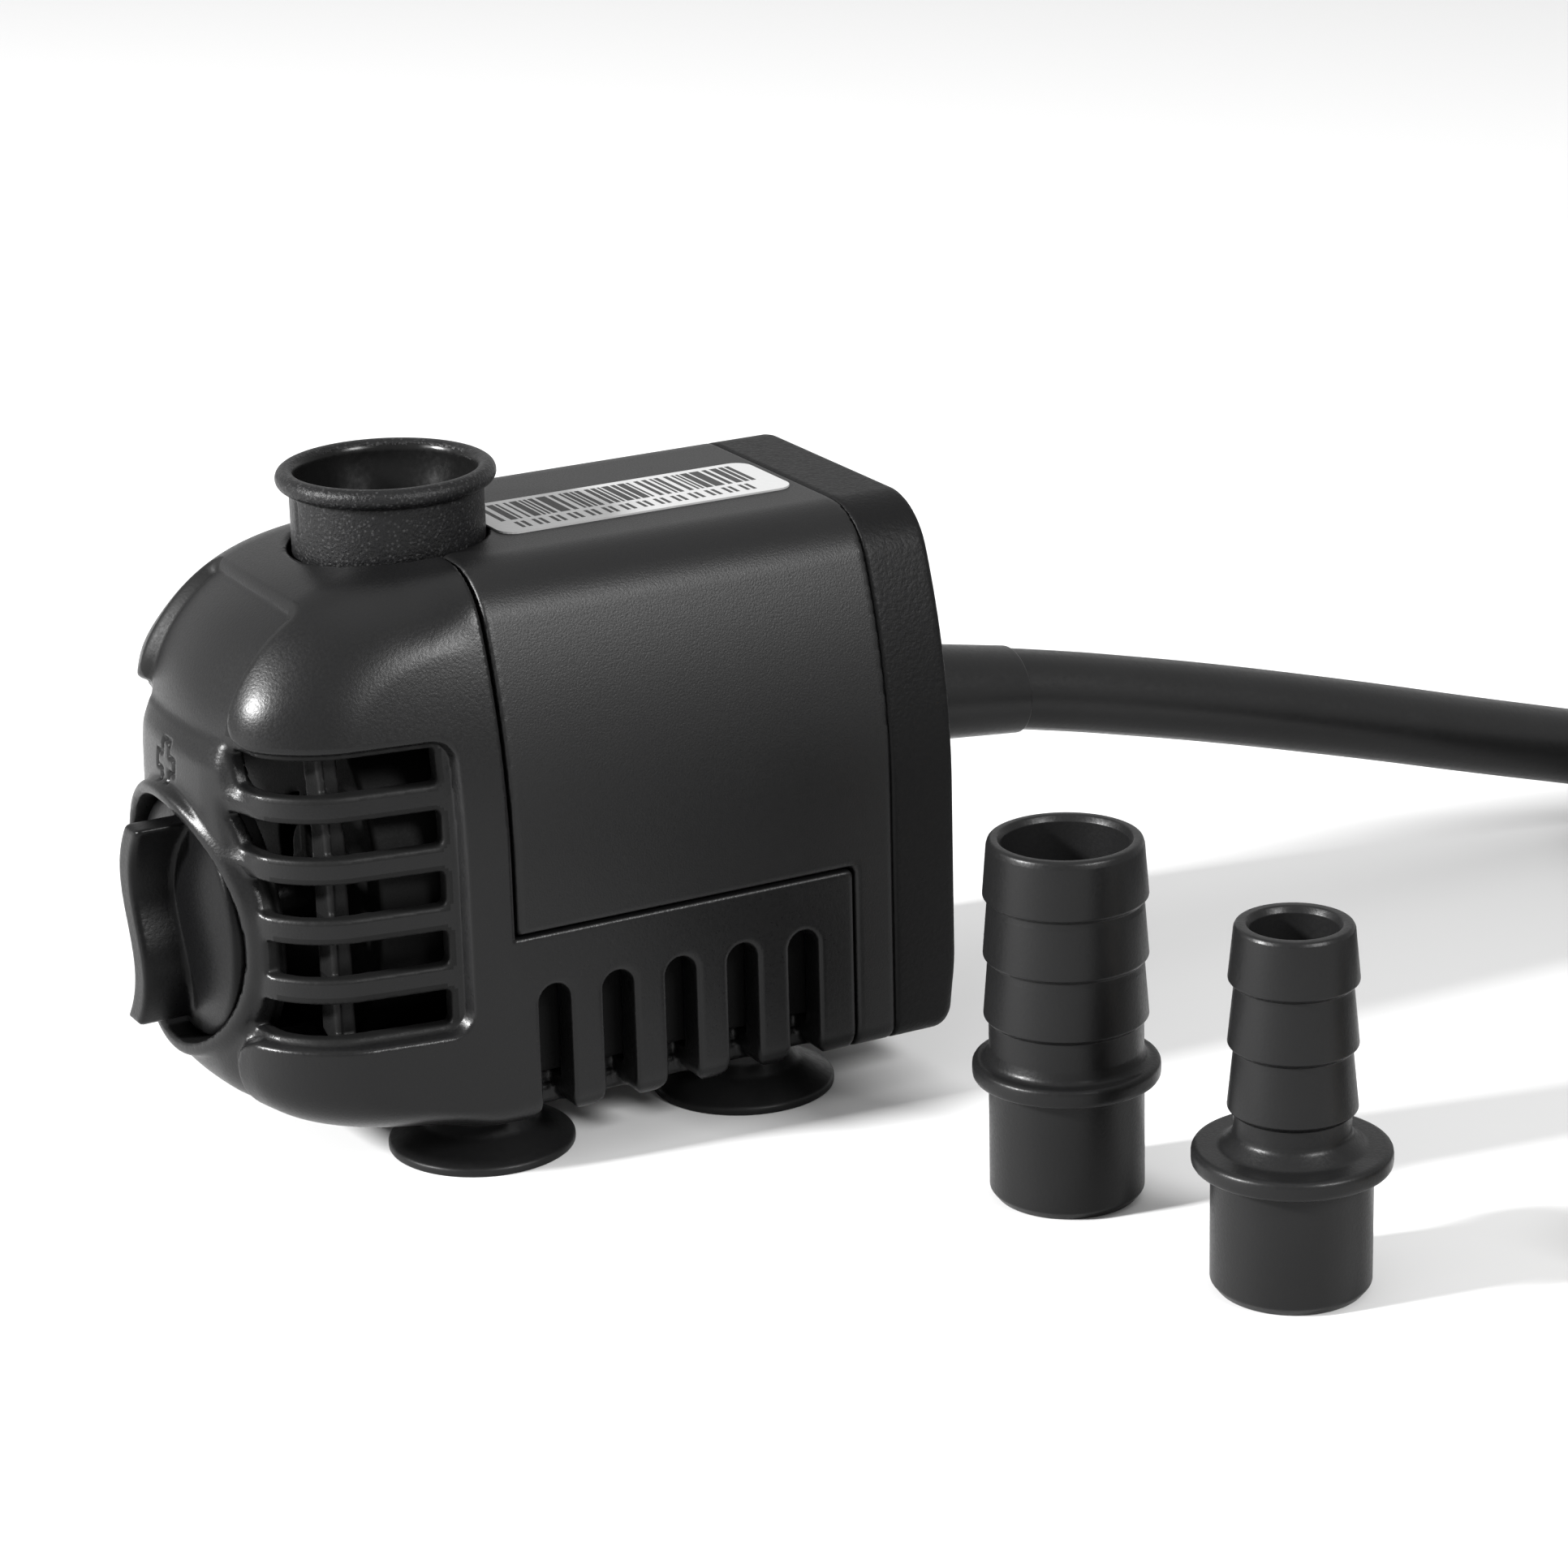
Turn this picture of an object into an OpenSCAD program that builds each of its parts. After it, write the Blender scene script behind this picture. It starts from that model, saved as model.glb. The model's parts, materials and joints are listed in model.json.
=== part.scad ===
// Small submersible fountain pump with its mains lead and two loose hose adaptors.
// Millimetres. +Z is up, -Y is the strainer nose with the flow dial, +Y is the cord side.
// The origin is on the floor under the middle of the base.

/* [Body] */
// Full width of the casing
body_w = 47.9; // [47:0.1:49]
// Height of the casing's flat top above the floor
body_h = 61; // [60:0.5:62]
// Height of the casing's underside above the floor
base_z = 5; // [4.8:0.1:5.2]
// Front seam, where the nose meets the motor casing
seam_y = -18.9; // [-19.4:0.1:-18.5]
// Foremost point of the nose
nose_y = -45.3; // [-46:0.1:-45]
// Seam between the motor casing and the rear cover
rear_seam_y = 23.6; // [23:0.1:24]
// Rear face
rear_y = 30.9; // [30:0.1:32]
// Wall of the strainer cover
wall = 1.8; // [1.6:0.1:2]

/* [Strainer] */
// Height of one opening between two louvres
louvre_gap = 3.4; // [3:0.1:3.8]
// Height from one opening to the next
louvre_pitch = 6.17; // [6:0.05:6.3]
// Top edge of the skirt that runs back under the motor
skirt_z = 25.1; // [24:0.1:26]
// Width of one slot in the skirt
slot_w = 3.4; // [3:0.1:3.8]

/* [Dial] */
// Radius of the dial's disc
dial_r = 12.3; // [12:0.1:12.4]
// Height of the dial's axis
dial_z = 25.2; // [25:0.1:25.4]

/* [Outlet] */
// Radius of the outlet's bore
outlet_r = 7.7; // [7.6:0.05:7.8]
// Height of the outlet's rim
outlet_top = 68.2; // [67:0.1:70]

/* [Hose adaptors] */
// Radius of the spigot that fits the outlet
spigot_r = 7.6; // [7.5:0.05:7.65]
// Height of the adaptor for a 16 mm hose
adaptor_16_h = 36.9; // [36:0.1:38]
// Height of the adaptor for a 12 mm hose
adaptor_12_h = 36.2; // [36:0.1:38]

/* [Cord] */
// Diameter of the cord
cord_d = 8.8; // [8.6:0.1:8.8]

/* [Hidden] */
half_w = body_w / 2;
side_r = 66;        // long curve of each side wall
side_z = 32;        // height where that curve starts
top_r = 7.5;        // rounding of the top edges
low_r = 3;          // rounding of the bottom edges
mid_z = 30;         // height that the nose closes towards
seam_gap = 0.3;
nose_stations = 12;
rotor_z = 29;       // height of the rotor's axis
drum_r = 19;        // outside of the impeller chamber
drum_front = -24;
drum_back = -9;
inlet_r = 6.5;
outlet_seat = 50;   // where the outlet's bore ends and its passage narrows
bush_r = 2.4;
bush_back = -19.2;  // inner end of the front bush
well_r = 8.6;       // inside of the rotor well
well_wall = 1.2;
well_back = 19;
rotor_r = 8;
hub_r = 2.6;
shaft_r = 1.25;
casing_wall = 4.4;  // from the outside of the casing to the potted hollow
hollow_front = -6;
core_back = 14;     // the stator's plates run from y = 0 to here
yoke_low = 45;
yoke_high = 52;
lead_r = 0.8;
lead_bend_y = 21;
lead_end_y = 26;    // the cord's cut end
outlet_y = seam_y - 1;
tube_r = 9.7;
cord_z = 34.9;
cord_r = cord_d / 2;
coil_x = 61.6;      // middle of the stored coil
coil_y = 175;
coil_r = 61.6;      // centreline of its outermost turn
coil_in = 35.2;     // centreline of its innermost turn
plug_x = 119;
plug_y = 136;
plug_z = 12;
adaptor_16_at = [55.3, 24.9];
adaptor_12_at = [84.7, 31.3];
foot_x = 13.4;
foot_ys = [seam_y, 11.1];  // front pair and rear pair
black = [0.09, 0.09, 0.095];
grey_black = [0.13, 0.13, 0.135];
// route of the cord from inside the gland down to the floor and to the coil
lead_route = [[0, 26, 34.9], [0, 32, 34.9], [0, 38, 34.5], [0, 46, 33.4], [0, 57, 31.2],
              [0, 68, 28.6], [0, 79, 25.8], [0, 90, 22.8], [0, 101, 19.7], [0, 112, 16.5],
              [0, 124, 13.1], [0, 136, 9.8], [0, 148, 7], [0, 160, 5], [0, 175, 4.4]];
// last stretch, from the top of the coil to the plug
tail_route = [[119, 175, 13.2], [119, 162, 13.2], [119, 150, 13], [119, 136, 12], [119, 130, 12]];

// ---------- outlines ----------

// points on an arc about c, from angle a to angle b
function arc(c, r, a, b, n) =
    [for (i = [0:n]) let (t = a + (b - a) * i / n) [c[0] + r * cos(t), c[1] + r * sin(t)]];

// right half of the casing's cross-section, from the bottom to the top, moved inwards by d
function half_section(d, n = 6) =
    let (lean = asin((body_h - top_r - side_z) / (side_r - top_r)),
         side_c = [half_w - side_r, side_z],
         top_c = side_c + (side_r - top_r) * [cos(lean), sin(lean)],
         low_c = [half_w - low_r, base_z + low_r],
         low = max(low_r - d, 0.4),
         low_at = low_r > d ? low_c : [half_w - d - low, base_z + d + low])
    concat(arc(low_at, low, -90, 0, n / 2),
           arc(side_c, side_r - d, 0, lean, n),
           arc(top_c, top_r - d, lean + 90 / n, 90, n));

// whole cross-section, anticlockwise
function section(d) =
    let (right = half_section(d), last = len(right) - 1)
    concat(right, [for (i = [last:-1:0]) [-right[i][0], right[i][1]]]);

// how much of the full width, height above and depth below mid_z is left at t along the nose
function nose_width(t) = (1 - 0.135 * pow(t, 1.18)) * pow(1 - pow(t, 5), 0.55);
function nose_rise(t) = 0.2 + 0.8 * pow(1 - pow(t, 3), 1 / 3);
function nose_drop(t) = 0.68 + 0.32 * pow(1 - pow(t, 3.5), 0.29);

// one ring of the nose at t, moved inwards by d
function nose_ring(t, d) =
    let (y = seam_y + t * (nose_y + d - seam_y))
    [for (p = section(d))
        let (k = p[1] > mid_z ? nose_rise(t) : nose_drop(t))
        [p[0] * nose_width(t), y, mid_z + (p[1] - mid_z) * k]];

// faces of a tube of count rings of n points, closed at both ends
function skin_faces(count, n) = concat(
    [[for (j = [0:n - 1]) j]],
    [for (i = [0:count - 2], j = [0:n - 1])
        [i * n + j, (i + 1) * n + j, (i + 1) * n + (j + 1) % n]],
    [for (i = [0:count - 2], j = [0:n - 1])
        [i * n + j, (i + 1) * n + (j + 1) % n, i * n + (j + 1) % n]],
    [[for (j = [n - 1:-1:0]) (count - 1) * n + j]]);

// ---------- shared shapes ----------

// casing cross-section between two y values
module casing(y0, y1, d = 0) {
    translate([0, y1, 0]) rotate([90, 0, 0]) linear_extrude(y1 - y0) polygon(section(d));
}

// solid nose, moved inwards by d
module nose(d) {
    rings = [for (i = [0:nose_stations]) nose_ring(0.99 * sin(90 * i / nose_stations), d)];
    n = len(rings[0]);
    polyhedron(points = [for (r = rings) each r], faces = skin_faces(len(rings), n), convexity = 4);
}

module block(low, high) {
    translate(low) cube(high - low);
}

// cylinder along y about a height z, from y0 to y1
module rod_y(r, y0, y1, z = rotor_z, x = 0) {
    translate([x, y1, z]) rotate([90, 0, 0]) cylinder(r = r, h = y1 - y0, $fn = 96);
}

// cylinder right across the casing
module rod_x(r, y, z) {
    translate([-half_w - 1, y, z]) rotate([0, 90, 0]) cylinder(r = r, h = body_w + 2, $fn = 32);
}

// solid turned about the y axis at height z from an outline of [radius, y] points
module turned_y(z, outline) {
    translate([0, 0, z]) rotate([-90, 0, 0]) rotate_extrude($fn = 96) polygon(outline);
}

// tube swept along a route, with flat ends
module swept(route, r, sides = 10) {
    last = len(route) - 1;
    rings = [for (i = [0:last])
        let (ahead = route[min(i + 1, last)] - route[max(i - 1, 0)],
             along = ahead / norm(ahead),
             across = cross([0, 0, 1], along) / norm(cross([0, 0, 1], along)),
             over = cross(along, across))
        [for (j = [0:sides - 1]) let (a = 360 * (j + 0.5) / sides)
            route[i] + r * cos(a) * across + r * sin(a) * over]];
    polyhedron(points = [for (ring = rings) each ring], faces = skin_faces(last + 1, sides));
}

// ---------- strainer cover ----------

module louvre_openings() {
    for (side = [0, 1], i = [0:4])
        mirror([side, 0, 0])
            translate([0, 0, 18.7 + i * louvre_pitch - louvre_gap / 2])
                block([12, nose_y - 2, 0], [half_w + 2, -24.2, louvre_gap]);
}

// upright rib behind each set of louvres
module louvre_rib() {
    intersection() {
        nose(wall);
        for (side = [0, 1])
            mirror([side, 0, 0]) block([17.4, -35.4, base_z + wall], [half_w, -33.6, 50]);
    }
}

// open slots along both lower sides
module skirt_slots() {
    for (i = [0:4]) {
        y = -14.9 + 7 * i;
        block([-half_w - 1, y - slot_w / 2, base_z - 1], [half_w + 1, y + slot_w / 2, 17.9]);
        rod_x(slot_w / 2, y, 17.9);
    }
}

// raised ring around the dial, with the floor that the dial's stem turns in
module dial_ring() {
    intersection() {
        rod_y(dial_r + 1.8, nose_y - 0.2, -39, dial_z);
        translate([0, nose_y - 0.2 + 26, 0]) cylinder(r = 26, h = 60, $fn = 128);
    }
}

module front_cover() color(black) difference() {
    union() {
        difference() {
            union() {
                difference() {
                    nose(0);
                    nose(wall);
                    louvre_openings();
                }
                louvre_rib();
                difference() {
                    casing(seam_y, -seam_y);
                    casing(seam_y - 1, 1 - seam_y, wall);
                    block([-30, -30, skirt_z], [30, 30, body_h + 1]);
                }
            }
            skirt_slots();
        }
        block([-half_w + 5, seam_y, base_z], [half_w - 5, -seam_y, base_z + 2]);
        dial_ring();
    }
    rod_y(dial_r + 0.35, nose_y - 2, -41.6, dial_z);
    rod_y(3.05, -43, -37, dial_z);
    translate([0, outlet_y, 40]) cylinder(r = tube_r + 0.5, h = 30, $fn = 96);
    for (x = [-foot_x, foot_x], y = foot_ys)
        translate([x, y, base_z - 1]) cylinder(r = 2.6, h = 5, $fn = 48);
}

// ---------- flow regulator ----------

// wavy grip across the dial: half thickness t, height along z from the dial's axis
function grip_wave(u) = 1.7 * pow(u, 3) - 1.3 * sin(180 * u);
function grip_side(t, s) = [for (i = [-8:8]) let (u = s * i / 8) [s * t + grip_wave(u), 10.8 * u]];

module flow_dial() color(grey_black) {
    turned_y(dial_z, [[0, -45.4], [6, -45.1], [11, -44.5], [dial_r, -43.8], [dial_r, -42],
                      [3, -42], [3, -26], [0, -26]]);
    translate([0, -44.6, dial_z]) rotate([90, 0, 0]) linear_extrude(5.2)
        polygon(concat(grip_side(1.7, 1), grip_side(1.7, -1)));
}

// half disc behind the strainer that swings across the chamber's inlet
module flow_shutter() color(grey_black) difference() {
    union() {
        intersection() {
            rod_y(13, -27.6, -26, dial_z);
            block([-14, -28, dial_z - 14], [14, -25, dial_z]);
        }
        rod_y(4.6, -30, -26, dial_z);
    }
    rod_y(3, -31, -25, dial_z);
}

// ---------- impeller chamber and rotor ----------

// drum around the impeller, with the outlet tube and its rim
module chamber_shell() difference() {
    union() {
        rod_y(drum_r, drum_front, drum_back);
        translate([0, outlet_y, 40]) cylinder(r = tube_r, h = outlet_top - 40, $fn = 96);
        translate([0, outlet_y, outlet_top - 1]) rotate_extrude($fn = 96)
            translate([tube_r + 0.3, 0]) circle(r = 1, $fn = 24);
    }
    rod_y(drum_r - 2, drum_front + 2, drum_back + 1);
    rod_y(inlet_r, drum_front - 1, drum_front + 3);
    translate([0, outlet_y, outlet_seat]) cylinder(r = outlet_r, h = 30, $fn = 96);
    translate([0, outlet_y, outlet_top - 4]) cylinder(r = outlet_r + 1, h = 10, $fn = 96);
    intersection() {
        translate([0, outlet_y, 30]) cylinder(r = outlet_r - 1.2, h = 21, $fn = 96);
        block([-10, drum_front + 2, 30], [10, -10, outlet_seat + 1]);
    }
    // seat of the o-ring
    difference() {
        rod_y(drum_r + 1, drum_back - 0.9, drum_back + 1);
        rod_y(drum_r - 1.1, drum_back - 2, drum_back + 2);
    }
}

// spokes across the inlet, with the hub that holds the front bush
module inlet_spider() difference() {
    union() {
        rod_y(3.4, drum_front, bush_back);
        for (a = [0, 120, 240])
            translate([0, drum_front, rotor_z]) rotate([0, a, 0]) translate([-0.8, 0, 0])
                cube([1.6, 2, inlet_r + 0.5]);
    }
    rod_y(bush_r, drum_front + 1.2, bush_back + 1);
}

module volute_housing() color(black) {
    chamber_shell();
    inlet_spider();
}

module chamber_o_ring() color([0.05, 0.05, 0.05])
    translate([0, drum_back - 0.45, rotor_z]) rotate([90, 0, 0]) rotate_extrude($fn = 96)
        translate([drum_r - 0.6, 0]) circle(r = 0.45, $fn = 24);

module impeller() color([0.85, 0.86, 0.84]) difference() {
    union() {
        rod_y(13, -11.4, -10);
        rod_y(4, -18.2, -10);
        for (i = [0:5])
            translate([0, -11.2, rotor_z]) rotate([0, 60 * i, 0]) translate([-0.6, -6.8, 3])
                cube([1.2, 7, 9.8]);
    }
    rod_y(hub_r, -19, -9);
}

module rotor_hub() color([0.85, 0.86, 0.84]) difference() {
    union() {
        rod_y(hub_r, -18.2, 16);
        rod_y(rotor_r - 0.6, -9.9, -8.2);
    }
    rod_y(shaft_r + 0.05, -20, 17);
}

module rotor_magnet() color([0.22, 0.22, 0.24]) difference() {
    rod_y(rotor_r, -8.2, 15);
    rod_y(hub_r, -10, 16);
}

module thrust_washers() color([0.95, 0.95, 0.92])
    for (y = [[-19, -18.2], [16, 16.8]]) difference() {
        rod_y(2.6, y[0], y[1]);
        rod_y(shaft_r + 0.05, y[0] - 1, y[1] + 1);
    }

module rotor_shaft() color([0.95, 0.95, 0.92]) rod_y(shaft_r, drum_front + 1.2, well_back - 0.4);

module front_bush() color([0.3, 0.3, 0.3]) difference() {
    rod_y(bush_r, drum_front + 1.2, bush_back);
    rod_y(shaft_r, drum_front, bush_back + 1);
}

module rear_bush() color([0.3, 0.3, 0.3]) difference() {
    rod_y(well_r, well_back - 1.8, well_back);
    rod_y(shaft_r, well_back - 2, well_back - 0.4);
}

// ---------- motor ----------

// hollow around the stator, open towards the rear cover
module hollow() casing(hollow_front, rear_seam_y + 1, casing_wall);

module motor_housing() color(grey_black) difference() {
    union() {
        intersection() {
            casing(seam_y + seam_gap, rear_seam_y);
            block([-30, -30, skirt_z + seam_gap], [30, 30, body_h + 1]);
        }
        intersection() {
            casing(seam_y + seam_gap, -seam_y + 1, wall + seam_gap);
            block([-30, -30, base_z + 3.6], [30, 30, skirt_z + 1]);
        }
        casing(-seam_y + seam_gap, rear_seam_y);
    }
    rod_y(drum_r + 0.2, -30, drum_back);
    difference() {
        hollow();
        rod_y(well_r + well_wall, hollow_front - 1, well_back + well_wall);
    }
    rod_y(well_r, drum_back - 1, well_back);
    translate([0, outlet_y, 40]) cylinder(r = tube_r + 0.2, h = 30, $fn = 96);
}

module core_outline() {
    difference() {
        translate([-16, 20]) square([32, yoke_high - 20]);
        translate([-9, 19]) square([18, yoke_low - 19]);
        translate([0, rotor_z]) circle(r = well_r + well_wall + 0.2, $fn = 96);
    }
}

module stator_core() color([0.45, 0.46, 0.48])
    translate([0, core_back, 0]) rotate([90, 0, 0]) linear_extrude(core_back) core_outline();

// square collar around the yoke: from -x to x, grown by g from the yoke's faces
module yoke_collar(x, g) {
    block([-x, -g, yoke_low - g], [x, core_back + g, yoke_high + g]);
}

module coil_bobbin() color([0.9, 0.88, 0.8]) difference() {
    union() {
        yoke_collar(8.8, 0.8);
        for (side = [0, 1]) mirror([side, 0, 0])
            block([7.6, -3.8, yoke_low - 3.8], [8.8, core_back + 3.8, yoke_high + 3.8]);
    }
    yoke_collar(12, 0.02);
}

module coil_winding() color([0.72, 0.38, 0.18]) difference() {
    yoke_collar(7.6, 3.5);
    yoke_collar(9, 0.8);
}

module winding_leads() color([0.5, 0.25, 0.15]) for (x = [-2.6, 2.6]) {
    rod_y(lead_r, core_back + 3.5, lead_bend_y + lead_r, 50, x);
    translate([x, lead_bend_y, cord_z + 2]) cylinder(r = lead_r, h = 48 - cord_z, $fn = 24);
    rod_y(lead_r, lead_bend_y - lead_r, lead_end_y, cord_z + 2, x);
}

module earth_lead() color([0.3, 0.6, 0.2]) {
    rod_y(lead_r, core_back, lead_bend_y + lead_r, cord_z - 2, 12);
    translate([0, lead_bend_y, cord_z - 2]) rotate([0, 90, 0])
        cylinder(r = lead_r, h = 12, $fn = 24);
    rod_y(lead_r, lead_bend_y - lead_r, lead_end_y, cord_z - 2);
}

module potting_resin() color([0.16, 0.14, 0.12]) difference() {
    casing(hollow_front, rear_seam_y - 0.6, casing_wall);
    rod_y(well_r + well_wall, hollow_front - 1, well_back + well_wall);
    stator_core();
    coil_bobbin();
    coil_winding();
    winding_leads();
    earth_lead();
}

module rear_cover() color(black) difference() {
    casing(rear_seam_y, rear_y);
    casing(rear_seam_y - 1, rear_y - 2, 2);
    rod_y(6, rear_y - 4, rear_y + 1, cord_z);
}

module rating_label() color([0.85, 0.85, 0.85])
    block([-3, -9.4, body_h], [7.4, 22.3, body_h + 0.2]);

// ---------- cord ----------

module cable_gland() color(grey_black)
    turned_y(cord_z, [[cord_r, 25], [8, 25], [8, 28.9], [6, 28.9], [6, rear_y], [6.6, rear_y],
                      [6.6, 33], [5.3, 43], [cord_r, 43]]);

module cord_tube() color(black) swept(lead_route, cord_r);

module cord_coil() color(black) translate([coil_x, coil_y, 0]) rotate_extrude($fn = 96)
    polygon([[coil_in - cord_r, 2], [coil_in - cord_r + 2, 0], [coil_r + cord_r - 2, 0],
             [coil_r + cord_r, 2], [coil_r + cord_r, cord_r * 2], [coil_r, 4 * cord_r],
             [coil_in - cord_r + 2, 4 * cord_r], [coil_in - cord_r, 4 * cord_r - 2]]);

module coil_tie() color([0.2, 0.2, 0.2]) translate([coil_x - 4, coil_y - 68, 0]) difference() {
    cube([8, 40, 19]);
    translate([-1, 1.5, 1]) cube([10, 37, 17]);
}

module cord_tail() color(black) swept(tail_route, cord_r);

module plug_body() color(black) {
    translate([plug_x, 0, 0]) turned_y(plug_z, [[0, plug_y - 24], [9, plug_y - 24],
        [8, plug_y - 20], [5.4, plug_y], [0, plug_y]]);
    hull() for (x = [-8, 8], z = [5, 17])
        translate([plug_x + x, plug_y - 24, z]) rotate([90, 0, 0]) cylinder(r = 5, h = 31, $fn = 32);
}

module plug_blades() color([0.78, 0.7, 0.45]) for (x = [-6.35, 6.35])
    block([plug_x + x - 0.75, plug_y - 72, 11], [plug_x + x + 0.75, plug_y - 55, 17.4]);

module plug_earth_pin() color([0.78, 0.7, 0.45])
    rod_y(2.4, plug_y - 75, plug_y - 55, 6, plug_x);

// ---------- feet ----------

module suction_foot(x, y) color([0.07, 0.07, 0.07]) translate([x, y, 0]) rotate_extrude($fn = 96)
    polygon([[0, 2], [4, 1.6], [8.6, 0], [9.5, 0], [9.5, 0.8], [6, 2.6], [5, 3.8], [5, base_z],
             [2.6, base_z], [2.6, base_z + 2], [3.4, base_z + 2], [2.4, base_z + 3.3],
             [0, base_z + 3.3]]);

module foot_front_left() suction_foot(-foot_x, foot_ys[0]);
module foot_front_right() suction_foot(foot_x, foot_ys[0]);
module foot_rear_left() suction_foot(-foot_x, foot_ys[1]);
module foot_rear_right() suction_foot(foot_x, foot_ys[1]);

// ---------- loose hose adaptors ----------

// hose tail with three barbs; barbs is the height of each barb's widest edge
module hose_adaptor(at, h, tail_r, barb_r, bore_r, flange_r, foot_r, barbs) {
    translate([at[0], at[1], 0]) rotate_extrude($fn = 96)
        polygon(concat(
            [[bore_r, 0], [spigot_r - 0.8, 0], [spigot_r, 0.8], [spigot_r, 12.3],
             [flange_r - 0.5, 12.3], [flange_r, 12.8], [flange_r, 13.8], [flange_r - 0.5, 14.3],
             [foot_r, 14.3], [tail_r, 16.2]],
            [for (z = barbs) each [[tail_r, z - 0.4], [barb_r, z], [barb_r - 0.1, z + 0.8],
                                   [tail_r, z + 5]]],
            [[tail_r - 0.1, h - 0.4], [tail_r - 0.5, h], [bore_r, h]]));
}

module hose_adaptor_16() color(black)
    hose_adaptor(adaptor_16_at, adaptor_16_h, 7.6, 8.05, 6.2, 9.2, 7.9, [18.9, 25.1, 31.2]);

module hose_adaptor_12() color(black)
    hose_adaptor(adaptor_12_at, adaptor_12_h, 5.5, 6.1, 4.1, 9.4, 7.2, [18.2, 24.5, 30.8]);

front_cover();
flow_dial();
flow_shutter();
volute_housing();
chamber_o_ring();
impeller();
rotor_hub();
rotor_magnet();
thrust_washers();
rotor_shaft();
front_bush();
rear_bush();
motor_housing();
stator_core();
coil_bobbin();
coil_winding();
winding_leads();
earth_lead();
potting_resin();
rear_cover();
rating_label();
cable_gland();
foot_front_left();
foot_front_right();
foot_rear_left();
foot_rear_right();
hose_adaptor_16();
hose_adaptor_12();
cord_tube();
cord_coil();
coil_tie();
cord_tail();
plug_body();
plug_blades();
plug_earth_pin();
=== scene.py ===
"""A small submersible fountain pump, its mains lead and two loose hose adaptors, in metres."""

import json
import math

import bpy
import numpy as np
from mathutils import Matrix, Vector


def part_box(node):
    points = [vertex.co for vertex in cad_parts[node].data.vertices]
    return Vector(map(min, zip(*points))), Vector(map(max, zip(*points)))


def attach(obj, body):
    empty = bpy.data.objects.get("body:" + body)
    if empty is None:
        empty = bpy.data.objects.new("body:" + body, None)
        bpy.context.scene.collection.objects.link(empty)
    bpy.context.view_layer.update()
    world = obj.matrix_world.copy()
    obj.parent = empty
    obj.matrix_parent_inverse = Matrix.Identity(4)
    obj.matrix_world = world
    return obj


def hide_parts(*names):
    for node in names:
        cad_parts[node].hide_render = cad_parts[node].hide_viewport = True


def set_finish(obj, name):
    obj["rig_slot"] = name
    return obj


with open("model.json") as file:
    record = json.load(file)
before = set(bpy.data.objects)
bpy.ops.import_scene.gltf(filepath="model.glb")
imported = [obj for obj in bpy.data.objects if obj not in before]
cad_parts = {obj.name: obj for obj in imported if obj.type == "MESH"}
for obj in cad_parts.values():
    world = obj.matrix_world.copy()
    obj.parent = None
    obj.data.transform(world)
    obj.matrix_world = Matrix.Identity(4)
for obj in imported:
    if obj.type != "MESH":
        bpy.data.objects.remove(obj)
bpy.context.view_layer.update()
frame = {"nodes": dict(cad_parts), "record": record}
MM = 0.001

# ---------- sizes, in millimetres, read from the frame ----------


def corners(node):
    """Lowest and highest corner of a CAD node, in millimetres."""
    low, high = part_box(node)
    return np.array(low) / MM, np.array(high) / MM


HOUSING_LOW, HOUSING_HIGH = corners("motor_housing")
COVER_LOW, COVER_HIGH = corners("front_cover")
REAR_LOW, REAR_HIGH = corners("rear_cover")
HALF_W = HOUSING_HIGH[0]                # half the casing's width
TOP = HOUSING_HIGH[2]                   # its flat top
BASE = COVER_LOW[2]                     # its underside
SKIRT_BACK = COVER_HIGH[1]              # where the cover's skirt ends
SEAM = -SKIRT_BACK                      # front seam
GAP = HOUSING_LOW[1] - SEAM             # width of the seams' grooves
REAR_SEAM, REAR = REAR_LOW[1], REAR_HIGH[1]
NOSE = SEAM - 26.3                      # foremost point of the nose's own curve
WALL, SKIRT_WALL = 1.8, 3.6             # thickness of the nose and of the skirt
SKIRT_Z = 25.1                          # top of the skirt
SIDE_R, SIDE_Z = 66.0, 32.0             # the sides bow in above this height
TOP_R, LOW_R = 7.5, 3.0                 # the casing's upper and lower edges
SLOT_Y, SLOT_PITCH, SLOT_COUNT = -14.9, 7, 5
SLOT_R, SLOT_TOP = 1.7, 17.9            # half a slot's width, and where its round end starts
LOUVRE_Z, LOUVRE_PITCH, LOUVRE_COUNT = 18.7, 6.17, 5
DIAL_LOW, DIAL_HIGH = corners("flow_dial")
DIAL_R = DIAL_HIGH[0]
DIAL_Z = (DIAL_LOW[2] + DIAL_HIGH[2]) / 2
DIAL_BACK = -41.6                       # floor of the dial's recess
RING_R, RING_FRONT = 13.25, -46.3       # middle of the ring around the dial, and its front
STEM_R = 3.0                            # the dial's stem
OUTLET_LOW, OUTLET_HIGH = corners("volute_housing")
OUTLET_Y = SEAM - 1
TUBE_R, BORE_R, MOUTH_R = 9.7, 7.7, 9.05    # the outlet outside, inside and at its mouth
INLET_R = 6.5
SHAFT_R = 1.25
ROTOR_Z = corners("rotor_shaft")[0][2] + SHAFT_R
DRUM_R, DRUM_BACK = 19.0, -9.0          # the impeller chamber
FOOT_X, FOOT_BACK = 13.4, 11.1          # places of the suction cups
PLUG_X, PLUG_Z = 119, 12
CORD_R = 4.4
CORD_Z = 34.9                           # height at which the cord leaves
GRID_MARGIN = 1.6                       # how far a sampling grid reaches past its CAD node

# ---------- camera ----------

LENS = 108.67
AZIMUTH, PITCH, ROLL = 62.03, 18.81, -1.504         # degrees
CAMERA_AT = (0.41996, -0.19907, 0.18847)


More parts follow.
